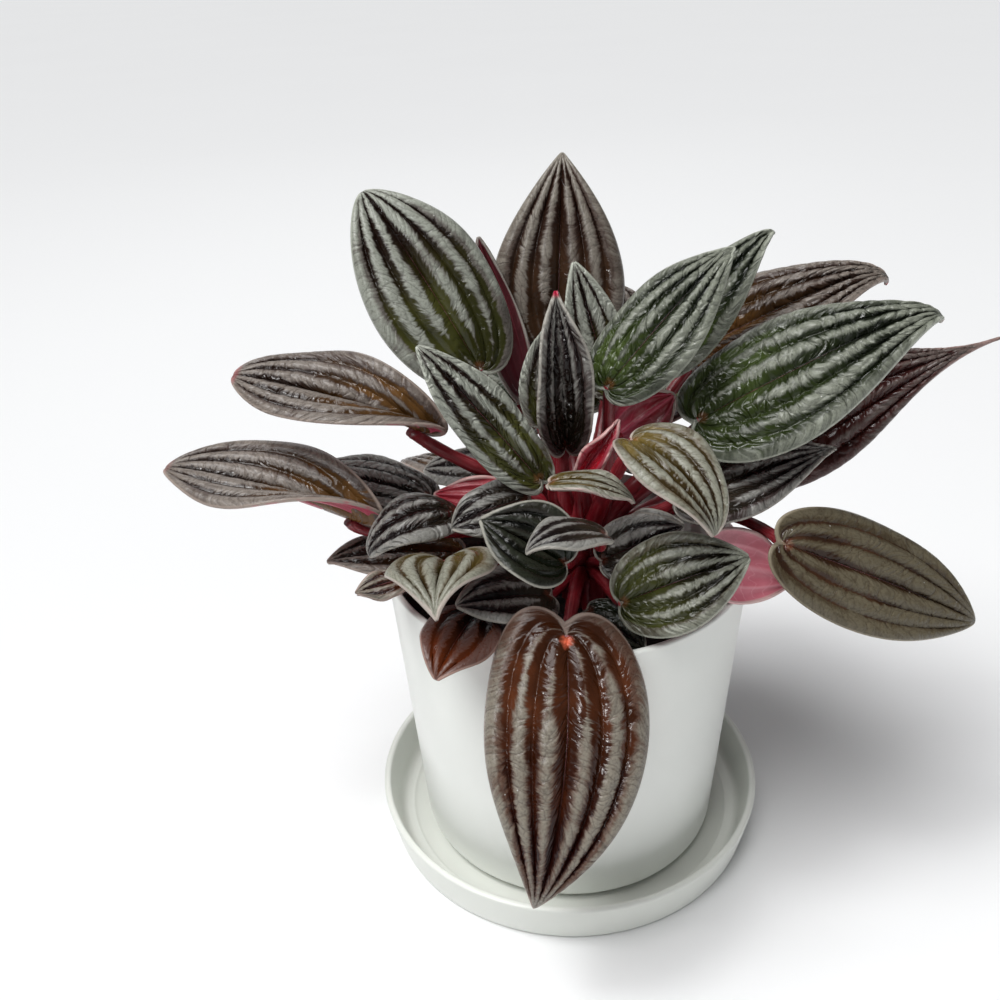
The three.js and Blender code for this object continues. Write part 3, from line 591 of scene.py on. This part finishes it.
def drawn_out(bm, points):
    """Adds a strip of faces along the open edges at points and gives its new points."""
    made = bmesh.ops.extrude_edge_only(bm, edges=open_edges(points))["geom"]
    return [g for g in made if isinstance(g, bmesh.types.BMVert)]


# The faces round a turned piece, then each of its roundings in metres with the faces across it, and the width
# of the slope at the edge of the pot's seat.
TURNED_STEPS = 180
SAUCER_FOOT = (0.0022, 4)
SAUCER_RIM = (0.0012, 3)
SAUCER_HOLLOW = (0.0034, 5)
SAUCER_STEP = (0.0006, 2)
POT_FOOT = (0.0056, 6)
POT_RIM = (0.0011, 3)
STEP_SLOPE = 0.001


class PEPEROMIA_OT_saucer(bpy.types.Operator):
    """Turns the round saucer with its upright wall and the shallow seat for the pot"""

    bl_idname = "peperomia.saucer"
    bl_label = "Saucer"

    def execute(self, context):
        s = context.scene.peperomia_saucer
        inner_foot, inner_rim = s.foot_radius - s.wall, s.rim_radius - s.wall
        seat = s.floor - s.step_rise
        step_edge = s.step_radius + STEP_SLOPE
        bm = spun([
            (0, 0), (s.foot_radius, 0), (s.rim_radius, s.rim_height), (inner_rim, s.rim_height),
            (inner_foot, s.floor), (step_edge, s.floor), (s.step_radius, seat), (0, seat),
        ], TURNED_STEPS)
        round_ring(bm, s.foot_radius, 0, *SAUCER_FOOT)
        round_ring(bm, s.rim_radius, s.rim_height, *SAUCER_RIM)
        round_ring(bm, inner_rim, s.rim_height, *SAUCER_RIM)
        round_ring(bm, inner_foot, s.floor, *SAUCER_HOLLOW)
        round_ring(bm, step_edge, s.floor, *SAUCER_STEP)
        finish = plastic("saucer plastic", s.colour, roughness=0.36)
        finished(bm, "saucer_turned", "saucer", [finish])
        return {"FINISHED"}


class PEPEROMIA_OT_pot(bpy.types.Operator):
    """Turns the tapered pot with its rounded rim and foot"""

    bl_idname = "peperomia.pot"
    bl_label = "Pot"

    def execute(self, context):
        p = context.scene.peperomia_pot
        inner_foot, inner_rim = p.foot_radius - p.wall, p.rim_radius - p.wall
        floor = p.underside + p.floor
        bm = spun([
            (0, p.underside), (p.foot_radius, p.underside), (p.rim_radius, p.rim_height),
            (inner_rim, p.rim_height), (inner_foot, floor), (0, floor),
        ], TURNED_STEPS)
        round_ring(bm, p.foot_radius, p.underside, *POT_FOOT)
        round_ring(bm, p.rim_radius, p.rim_height, *POT_RIM)
        round_ring(bm, inner_rim, p.rim_height, *POT_RIM)
        finish = plastic("pot plastic", p.colour, roughness=0.32)
        finished(bm, "pot_turned", "pot", [finish])
        return {"FINISHED"}


# The grid of the mix, the turns per metre of its clods and crumbs, how often the crumbs break up again, the
# shares of the lumps' height that they take and that all of it sinks, and how far the buried foot draws in.
SOIL_STEPS = 150
CLOD_SCALE, CRUMB_SCALE, CRUMB_LEVELS = 70, 260, 4
CLOD_SHARE, CRUMB_SHARE, SUNK_SHARE = 0.45, 0.6, 0.25
FOOT_SHARE = 0.86


class PEPEROMIA_OT_soil(bpy.types.Operator):
    """Heaps the dark, crumbly potting mix in the pot"""

    bl_idname = "peperomia.soil"
    bl_label = "Potting mix"

    def execute(self, context):
        s = context.scene.peperomia_soil
        low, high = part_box("soil")
        edge = s.height - s.mound
        radius = high.x
        bm = bmesh.new()
        bmesh.ops.create_grid(bm, x_segments=SOIL_STEPS, y_segments=SOIL_STEPS, size=radius)
        outside = [v for v in bm.verts if v.co.length > radius]
        bmesh.ops.delete(bm, geom=outside, context="VERTS")
        for v in bm.verts:
            reach = v.co.length / radius
            crumbs = noise.turbulence(v.co * CRUMB_SCALE, CRUMB_LEVELS, False, noise_basis="PERLIN_NEW")
            clods = noise.noise(v.co * CLOD_SCALE)
            lump = CLOD_SHARE * clods + CRUMB_SHARE * crumbs - SUNK_SHARE
            v.co.z = edge + s.mound * (1 - reach ** 2) + s.lumps * lump
        for v in drawn_out(bm, bm.verts):
            v.co.z = low.z
            v.co.x *= FOOT_SHARE
            v.co.y *= FOOT_SHARE
        bmesh.ops.holes_fill(bm, edges=open_edges(bm.verts))
        bmesh.ops.recalc_face_normals(bm, faces=bm.faces)
        finished(bm, "potting_mix_heap", "soil", [mix_finish("potting mix", s.colour)])
        return {"FINISHED"}


# How a blade's outline, lobes, ribs and waved edge are shaped, with the values of the packed model.
SHOULDER = 0.55
TIP_ROUNDING = 0.02
LOBE_DEPTH, LOBE_FADE = 0.4, 6
NOTCH_DEPTH, NOTCH_FADE = 0.05, 8
LOBE_SWEEP = 1.5
CUP_FADE = 2
GROOVE_SPACING = 0.85
RIB_FADE = 0.4
WAVE_HEIGHT, WAVE_TURNS, WAVE_STEP, WAVE_SHIFT, WAVE_EDGE = 0.9, 9, 2.4, 2, 4
FOLD_RUN = 1.5
MIDRIB_STEPS = 40
HOOK_POWER = 8
SMALL_LEAF = 21
RIBS, SMALL_RIBS = 3, 2

# What only these finer blades have: round ribs, rows that crowd towards both ends, and sharp cross creases
# that slant back from the midrib, weave from rib to rib, wander, and fade out at the joint.
RIB_ROUNDNESS = 0.75
END_CROWDING = 0.7
CREASE_SHARPNESS, CREASE_SLANT = 0.5, 1.7
CREASE_WEAVE, WEAVE_TURNS, WEAVE_EASE = 0.28, 2.4, 0.15
CREASE_WANDER, WANDER_ALONG, WANDER_ACROSS = 0.8, 0.12, 4
CREASE_START, CREASE_FULL = 0.05, 0.3

# The waves of each leaf start at a place of their own.
for count, form in enumerate(LEAVES):
    form["phase"] = count * WAVE_STEP


class Midrib:
    """A blade's midrib: an arc in one plane from the stalk's joint to the tip."""

    def __init__(self, form):
        self.start = Vector(form["base"])
        chord = Vector(form["tip"]) - self.start
        self.along = chord.normalized()
        facing = Vector(form["face"])
        self.off = (facing - self.along * facing.dot(self.along)).normalized()
        self.side = self.along.cross(self.off)
        self.total = math.radians(form["bend"])
        self.hook = form["hook"]
        self.veer = form["veer"]
        self.track = [(0, 0)]
        for i in range(MIDRIB_STEPS):
            angle = self.turned((i + 0.5) / MIDRIB_STEPS)
            u, v = self.track[i]
            self.track.append((u + math.cos(angle) / MIDRIB_STEPS, v + math.sin(angle) / MIDRIB_STEPS))
        end_u, end_v = self.track[-1]
        self.tilt = -math.atan2(end_v, end_u)
        self.length = chord.length / math.hypot(end_u, end_v)

    def turned(self, q):
        return -self.total * ((1 - self.hook) * q + self.hook * q ** HOOK_POWER)

    def in_plane(self, u, v):
        return self.along * u + self.off * v

    def at(self, q):
        """The point, the direction along and the direction off the upper side at share q of the length."""
        held = clamp(q, 0, 1)
        i = min(int(held * MIDRIB_STEPS), MIDRIB_STEPS - 1)
        f = held * MIDRIB_STEPS - i
        u = blend(self.track[i][0], self.track[i + 1][0], f)
        v = blend(self.track[i][1], self.track[i + 1][1], f)
        angle = self.turned(held) + self.tilt
        tangent = self.in_plane(math.cos(angle), math.sin(angle))
        normal = self.in_plane(-math.sin(angle), math.cos(angle))
        cos, sin = math.cos(self.tilt), math.sin(self.tilt)
        point = self.start + self.in_plane(u * cos - v * sin, u * sin + v * cos) * self.length
        aside = self.side * (4 * q * (1 - q) * self.veer * self.length)
        return point + aside + tangent * ((q - held) * self.length), tangent, normal


def outline_share(t, point):
    """A blade's half width at share t of its length, as a share of its widest half width."""
    def drawn(s):
        return s ** SHOULDER * math.sqrt((1 - s) * (1 - s + TIP_ROUNDING)) ** point
    return drawn(t) / drawn(SHOULDER / (SHOULDER + point))


def reach_share(t, c, depth):
    """How far along the blade a point lies; off the midrib it swings back round the joint into two lobes."""
    lobe = LOBE_DEPTH * math.sqrt(t) * (1 - t) ** LOBE_FADE
    notch = NOTCH_DEPTH * (1 - t) ** NOTCH_FADE
    return t - depth * (lobe + notch) * abs(c) ** LOBE_SWEEP


def rib_rise(x, ribs):
    """Height of the rounded ribs where x counts the ribs from the midrib, from 0 in a groove."""
    k = min(int(x), ribs - 1)
    height = 1 - RIB_FADE * (k / ribs) ** GROOVE_SPACING
    return math.sin(math.pi * clamp(x - k, 0, 1)) ** RIB_ROUNDNESS * height


def crease_count(form, sizes, t, c, x, length):
    """Counts the slanting cross creases up to a point of the blade; each whole number is a crease."""
    seed = form["phase"]
    aside = (WAVE_SHIFT if c > 0 else 0) * ease(abs(c), 0, WEAVE_EASE)
    run = t * length * MM / sizes.crease_gap - CREASE_SLANT * abs(c)
    wander = noise.noise(Vector((t * length * WANDER_ALONG, WANDER_ACROSS * c, seed)))
    return run + CREASE_WEAVE * math.sin(WEAVE_TURNS * x + seed + aside) + CREASE_WANDER * wander


def blade_point(form, midrib, ribs, sizes, t, c):
    """A point of the blade's middle surface in millimetres, with the marks that its finish follows."""
    half = form["width"] / 2
    spread = abs(c) * half * outline_share(t, form["point"])
    first = math.radians(form["fold"] + form["cup"] * (1 - t) ** CUP_FADE)
    rate = math.radians(form["curl"]) / half
    turn = first + rate * spread
    across = (math.sin(turn) - math.sin(first)) / rate
    rise = (math.cos(first) - math.cos(turn)) / rate
    spine, _, normal = midrib.at(reach_share(t, c, form["lobe"]))
    outward = midrib.side * ((c > 0) - (c < 0))
    lean = turn * min(1, spread / FOLD_RUN)
    skin = normal * math.cos(lean) - outward * math.sin(lean)
    x = ribs * abs(c) ** (1 / GROOVE_SPACING)
    crease = crease_count(form, sizes, t, c, x, midrib.length)
    valley = 1 - abs(math.sin(math.pi * crease)) ** CREASE_SHARPNESS
    ends = math.sqrt(math.sin(math.pi * t)) if 0 < t < 1 else 0
    sunk = sizes.pucker * form["crinkle"] * valley * ease(t, CREASE_START, CREASE_FULL)
    rib = rib_rise(x, ribs) * sizes.rib_height * form["width"] * (1 - sunk)
    swell = math.sin(WAVE_TURNS * t + form["phase"] + (WAVE_SHIFT if c > 0 else 0))
    ripple = WAVE_HEIGHT * c ** WAVE_EDGE * swell
    middle = spine + outward * across + normal * rise + skin * ((rib + ripple) * ends)
    inset = (1 - abs(c)) * half * outline_share(t, form["point"])
    # The count of the ribs stops at the last crest, so that the silver reaches the margin.
    return middle, {
        "place_on_blade": Vector((spread, form["crinkle"], form["phase"])),
        "blade_marks": Vector((crease, inset, (middle - midrib.start).length)),
        "blade_ribs": Vector((min(x, ribs - 0.5), t, (c > 0) - (c < 0))),
        "blade_looks": Vector((form["cover"], form["star"], form["red_tip"])),
    }


def grow_blade(form, sizes):
    """The blade's surface as a fine grid drawn to its shape, closed round the joint and at the tip."""
    midrib = Midrib(form)
    ribs = SMALL_RIBS if form["width"] < SMALL_LEAF else RIBS
    rows = round(midrib.length * MM / sizes.mesh_step)
    columns = 2 * round(form["width"] * MM / sizes.mesh_step / 2)
    bm = bmesh.new()
    layers = {}
    for name in ("place_on_blade", "blade_marks", "blade_ribs", "blade_looks"):
        layers[name] = bm.verts.layers.float_vector.new(name)
    bmesh.ops.create_grid(bm, x_segments=columns, y_segments=rows, size=1)
    for v in bm.verts:
        c = clamp(v.co.x, -1, 1)
        even = clamp((v.co.y + 1) / 2, 0, 1)
        t = blend(even, (1 - math.cos(math.pi * even)) / 2, END_CROWDING)
        middle, marks = blade_point(form, midrib, ribs, sizes, clamp(t, 0, 1), c)
        v.co = middle * MM
        for name, value in marks.items():
            v[layers[name]] = value
    bmesh.ops.remove_doubles(bm, verts=bm.verts, dist=SAME_PLACE)
    return bm


class PEPEROMIA_OT_leaves(bpy.types.Operator):
    """Grows every leaf blade with its ribs, cross creases, waved margin and red underside"""

    bl_idname = "peperomia.leaves"
    bl_label = "Leaves"

    def execute(self, context):
        sizes = context.scene.peperomia_blades
        finishes = {}
        for name, colours in TINTS.items():
            tint = Tint(*colours)
            finishes[name] = [
                upper_finish(name + " upper side", tint),
                under_finish(name + " underside", tint),
                margin_finish(name + " margin", tint),
            ]
        for form in LEAVES:
            node = "leaf_" + form["name"]
            grown = grow_blade(form, sizes)
            piece = finished(grown, "blade_" + form["name"], node, finishes[form["tint"]])
            skin = piece.modifiers.new("thickness", "SOLIDIFY")
            skin.thickness = sizes.thickness
            skin.offset = 0
            skin.material_offset = 1
            skin.material_offset_rim = 2
        return {"FINISHED"}


# Where the crown stands, and how a stalk leaves it and meets its blade, with the values of the packed model.
CROWN_X, CROWN_Y = 5, -6
LOWEST_STALK, HIGHEST_STALK = 86, 106
STALK_SPREAD, STALK_CLIMB, STALK_LEAN, STALK_SLANT = 2.5, 0.35, 0.5, 0.9
FIRST_REACH, LAST_REACH = 0.35, 0.2

# What only this finer crown and its stalks have: a rounded, bulging top, more sides, stalks that reach their
# blades and flare there, and an oval, knotty section.
CROWN_PROFILE = [(0, 66), (6.5, 66), (6.5, 88), (5.6, 96), (4.2, 106), (2.9, 114), (1.6, 119), (0, 120.5)]
STALK_RINGS, STALK_SIDES, CROWN_STEPS = 28, 14, 32
END_SUNK = 0.4
FLARE, FLARE_FROM = 0.25, 0.9
CROWN_BULGE, CROWN_BULGE_SCALE = 0.12, 0.25
OVAL, KNOTS, KNOT_TURNS = 0.07, 0.03, 30


def stalk_path(form, radius):
    """The four control points of a stalk, from inside the crown to the underside of its blade."""
    point, tangent, normal = Midrib(form).at(0)
    arrival = (tangent * STALK_SLANT + normal).normalized()
    end = point - normal * (radius * END_SUNK)
    outward = Vector((end.x - CROWN_X, end.y - CROWN_Y, 0)).normalized()
    rise = min(LOWEST_STALK + STALK_CLIMB * (end.z - LOWEST_STALK), HIGHEST_STALK)
    root = outward * STALK_SPREAD + Vector((CROWN_X, CROWN_Y, rise))
    reach = (end - root).length
    leaving = (outward * STALK_LEAN + Vector((0, 0, 1))).normalized()
    sway = Vector(form["sway"])
    first = root + leaving * (FIRST_REACH * reach) + sway
    last = end - arrival * (LAST_REACH * reach) + sway
    return root, first, last, end


def on_curve(points, share):
    """A point of the cubic curve and its direction there."""
    a, b, c, d = points
    rest = 1 - share
    point = a * rest ** 3 + b * (3 * rest ** 2 * share) + c * (3 * rest * share ** 2) + d * share ** 3
    way = (b - a) * rest ** 2 + (c - b) * (2 * rest * share) + (d - c) * share ** 2
    return point, way.normalized()


def bearing(vertex, centre, across, around):
    """The angle at which a vertex lies round a stalk."""
    v = vertex.co
    return math.atan2(v.dot(around) - centre.dot(around), v.dot(across) - centre.dot(across))


def grow_stalk(bm, layer, form, radius, swelling):
    """Draws a round stalk along its curve, thicker at the foot and flared where the blade sits."""
    points = stalk_path(form, radius)
    reach = (points[3] - points[0]).length
    seed = form["phase"]
    ring = bmesh.ops.create_circle(bm, cap_ends=True, segments=STALK_SIDES, radius=1)["verts"]
    across = None
    for j in range(STALK_RINGS + 1):
        share = j / STALK_RINGS
        centre, way = on_curve(points, share)
        across = across or way.orthogonal()
        across = (across - way * across.dot(way)).normalized()
        around = way.cross(across)
        thick = radius * (1 + swelling * (1 - share) ** 3 + FLARE * ease(share, FLARE_FROM, 1))
        if j:
            ring = sorted(drawn_out(bm, ring), key=lambda v: bearing(v, *last_ring))
        else:
            ring = sorted(ring, key=lambda v: math.atan2(v.co.y, v.co.x))
        for i, v in enumerate(ring):
            angle = math.tau * i / STALK_SIDES - math.pi
            uneven = 1 + OVAL * math.sin(2 * angle + seed) + KNOTS * math.sin(KNOT_TURNS * share + seed)
            v.co = centre + (across * math.cos(angle) + around * math.sin(angle)) * (thick * uneven)
            v[layer] = Vector((share * reach, math.sin(angle), seed + math.cos(angle)))
        last_ring = (centre, across, around)
    bmesh.ops.contextual_create(bm, geom=open_edges(ring))


class PEPEROMIA_OT_stalks(bpy.types.Operator):
    """Grows the crown in the middle of the pot and the red stalks that leave it"""

    bl_idname = "peperomia.stalks"
    bl_label = "Crown and stalks"

    def execute(self, context):
        sizes = context.scene.peperomia_stalks
        bm = spun(CROWN_PROFILE, CROWN_STEPS)
        layer = bm.verts.layers.float_vector.new("stalk")
        for v in bm.verts:
            bulge = 1 + CROWN_BULGE * noise.noise(v.co * CROWN_BULGE_SCALE)
            v[layer] = Vector((v.co.z, math.sin(math.atan2(v.co.y, v.co.x)), 0))
            v.co = Vector((v.co.x * bulge + CROWN_X, v.co.y * bulge + CROWN_Y, v.co.z))
        for form in LEAVES:
            radius = sizes.thin_radius if form["width"] < SMALL_LEAF else sizes.radius
            grow_stalk(bm, layer, form, radius / MM, sizes.swelling)
        bmesh.ops.scale(bm, vec=(MM, MM, MM), verts=bm.verts)
        bmesh.ops.recalc_face_normals(bm, faces=bm.faces)
        finished(bm, "crown_with_stalks", "crown_and_stalks",
                 [stalk_finish("red stalk", sizes.colour)])
        return {"FINISHED"}


# The camera, in metres and degrees, as it was found from the rims of the pot and the saucer.
CAMERA_PLACE = (0, -0.261, 0.2557)
CAMERA_YAW, CAMERA_PITCH, CAMERA_ROLL = -4.1, 28.62, -2.49
SENSOR_WIDTH = 36

# The sky, the sun, and each lamp: its place, its size and its share of the strength that the sidebar sets.
SKY_COLOUR, SKY_STRENGTH = (0.95, 0.97, 1, 1), 0.13
SUN_STRENGTH, SUN_SPREAD, SUN_WAY = 2.9, 0.8, (0.38, 0.22, -1)
LAMPS = {
    "window": ((-0.36, -0.16, 1.05), 0.18, 1),
    "fill": ((0.5, -0.8, 0.5), 0.8, 0.6),
    "sheen": ((-0.15, 1, 0.75), 0.9, 1.5),
    "gleam": ((-0.55, -0.85, 0.7), 0.15, 2),
}
PLANT_MIDDLE = (0, 0, 0.12)
FLOOR_HALF_WIDTH = 8


def hang(light, place, aim):
    """Hangs a light at a place so that it points at aim, and gives its object."""
    holder = placed(light.name, light)
    holder.location = place
    holder.rotation_mode = "QUATERNION"
    holder.rotation_quaternion = (Vector(aim) - Vector(place)).to_track_quat("-Z", "Y")
    return holder


def lamp(name, place, size, power):
    """Adds a square soft lamp that points at the middle of the plant, and gives its object."""
    light = bpy.data.lights.new(name, "AREA")
    light.size = size
    light.energy = power
    return hang(light, place, PLANT_MIDDLE)


class PEPEROMIA_OT_stage(bpy.types.Operator):
    """Lays the pale floor and sets the lights and the camera"""

    bl_idname = "peperomia.stage"
    bl_label = "Stage"

    def execute(self, context):
        s = context.scene.peperomia_stage
        self.lay_floor(s.floor_colour)
        self.light(s.light)
        self.aim_camera(s.lens)
        return {"FINISHED"}

    def lay_floor(self, colour):
        bm = bmesh.new()
        bmesh.ops.create_grid(bm, x_segments=2, y_segments=2, size=FLOOR_HALF_WIDTH)
        f = Finish("pale floor")
        f.set(Base_Color=f.mix(f.noise(scale=3), colour, [c * 0.98 for c in colour]))
        shown(bm, "pale_floor", [f.set(Roughness=0.7)])

    def light(self, power):
        world = bpy.data.worlds.new("soft daylight")
        bpy.context.scene.world = world
        world.use_nodes = True
        sky = world.node_tree.nodes["Background"].inputs
        sky["Color"].default_value = SKY_COLOUR
        sky["Strength"].default_value = SKY_STRENGTH
        bpy.context.scene.view_settings.view_transform = "Standard"
        sun = bpy.data.lights.new("sky window", "SUN")
        sun.energy = SUN_STRENGTH
        sun.angle = SUN_SPREAD
        hang(sun, (0, 0, 0), SUN_WAY)
        lamps = {name: lamp(name, place, size, power * share) for name, (place, size, share) in LAMPS.items()}
        # The fill only brightens and makes no sheen; the last two make sheen and gleam and don't brighten.
        lamps["fill"].visible_glossy = False
        for name in ("sheen", "gleam"):
            lamps[name].visible_diffuse = False
            lamps[name].visible_camera = False

    def aim_camera(self, lens):
        yaw, pitch, roll = (math.radians(angle) for angle in (CAMERA_YAW, CAMERA_PITCH, CAMERA_ROLL))
        forward = Vector((math.sin(yaw) * math.cos(pitch), math.cos(yaw) * math.cos(pitch), -math.sin(pitch)))
        right = forward.cross(Vector((0, 0, 1))).normalized()
        up = right.cross(forward)
        right, up = right * math.cos(roll) + up * math.sin(roll), up * math.cos(roll) - right * math.sin(roll)
        turn = Matrix((right, up, -forward)).transposed()
        data = bpy.data.cameras.new("camera")
        data.sensor_width = SENSOR_WIDTH
        data.lens = lens
        data.clip_start, data.clip_end = 0.01, 50
        camera = placed("camera", data)
        camera.matrix_world = Matrix.Translation(CAMERA_PLACE) @ turn.to_4x4()
        bpy.context.scene.camera = camera


class PEPEROMIA_PT_sidebar(bpy.types.Panel):
    """Lists the pieces of the plant with their sizes and colours."""

    bl_label = "Peperomia"
    bl_idname = "PEPEROMIA_PT_sidebar"
    bl_space_type = "VIEW_3D"
    bl_region_type = "UI"
    bl_category = "Peperomia"

    def draw(self, context):
        for operator in OPERATORS:
            self.layout.operator(operator.bl_idname)
        for name, group in GROUPS.items():
            box = self.layout.box()
            box.label(text=group.__doc__.rstrip("."))
            for field in group.__annotations__:
                box.prop(getattr(context.scene, name), field)


OPERATORS = [
    PEPEROMIA_OT_saucer,
    PEPEROMIA_OT_pot,
    PEPEROMIA_OT_soil,
    PEPEROMIA_OT_stalks,
    PEPEROMIA_OT_leaves,
    PEPEROMIA_OT_stage,
]
CLASSES = [*GROUPS.values(), *OPERATORS, PEPEROMIA_PT_sidebar]


def register():
    for registered in CLASSES:
        bpy.utils.register_class(registered)
    for name, group in GROUPS.items():
        setattr(bpy.types.Scene, name, bpy.props.PointerProperty(type=group))


def unregister():
    for name in GROUPS:
        delattr(bpy.types.Scene, name)
    for registered in reversed(CLASSES):
        bpy.utils.unregister_class(registered)


def main():
    register()
    bpy.ops.peperomia.stage()
    bpy.ops.peperomia.saucer()
    bpy.ops.peperomia.pot()
    bpy.ops.peperomia.soil()
    bpy.ops.peperomia.stalks()
    bpy.ops.peperomia.leaves()


if __name__ == "__main__":
    main()
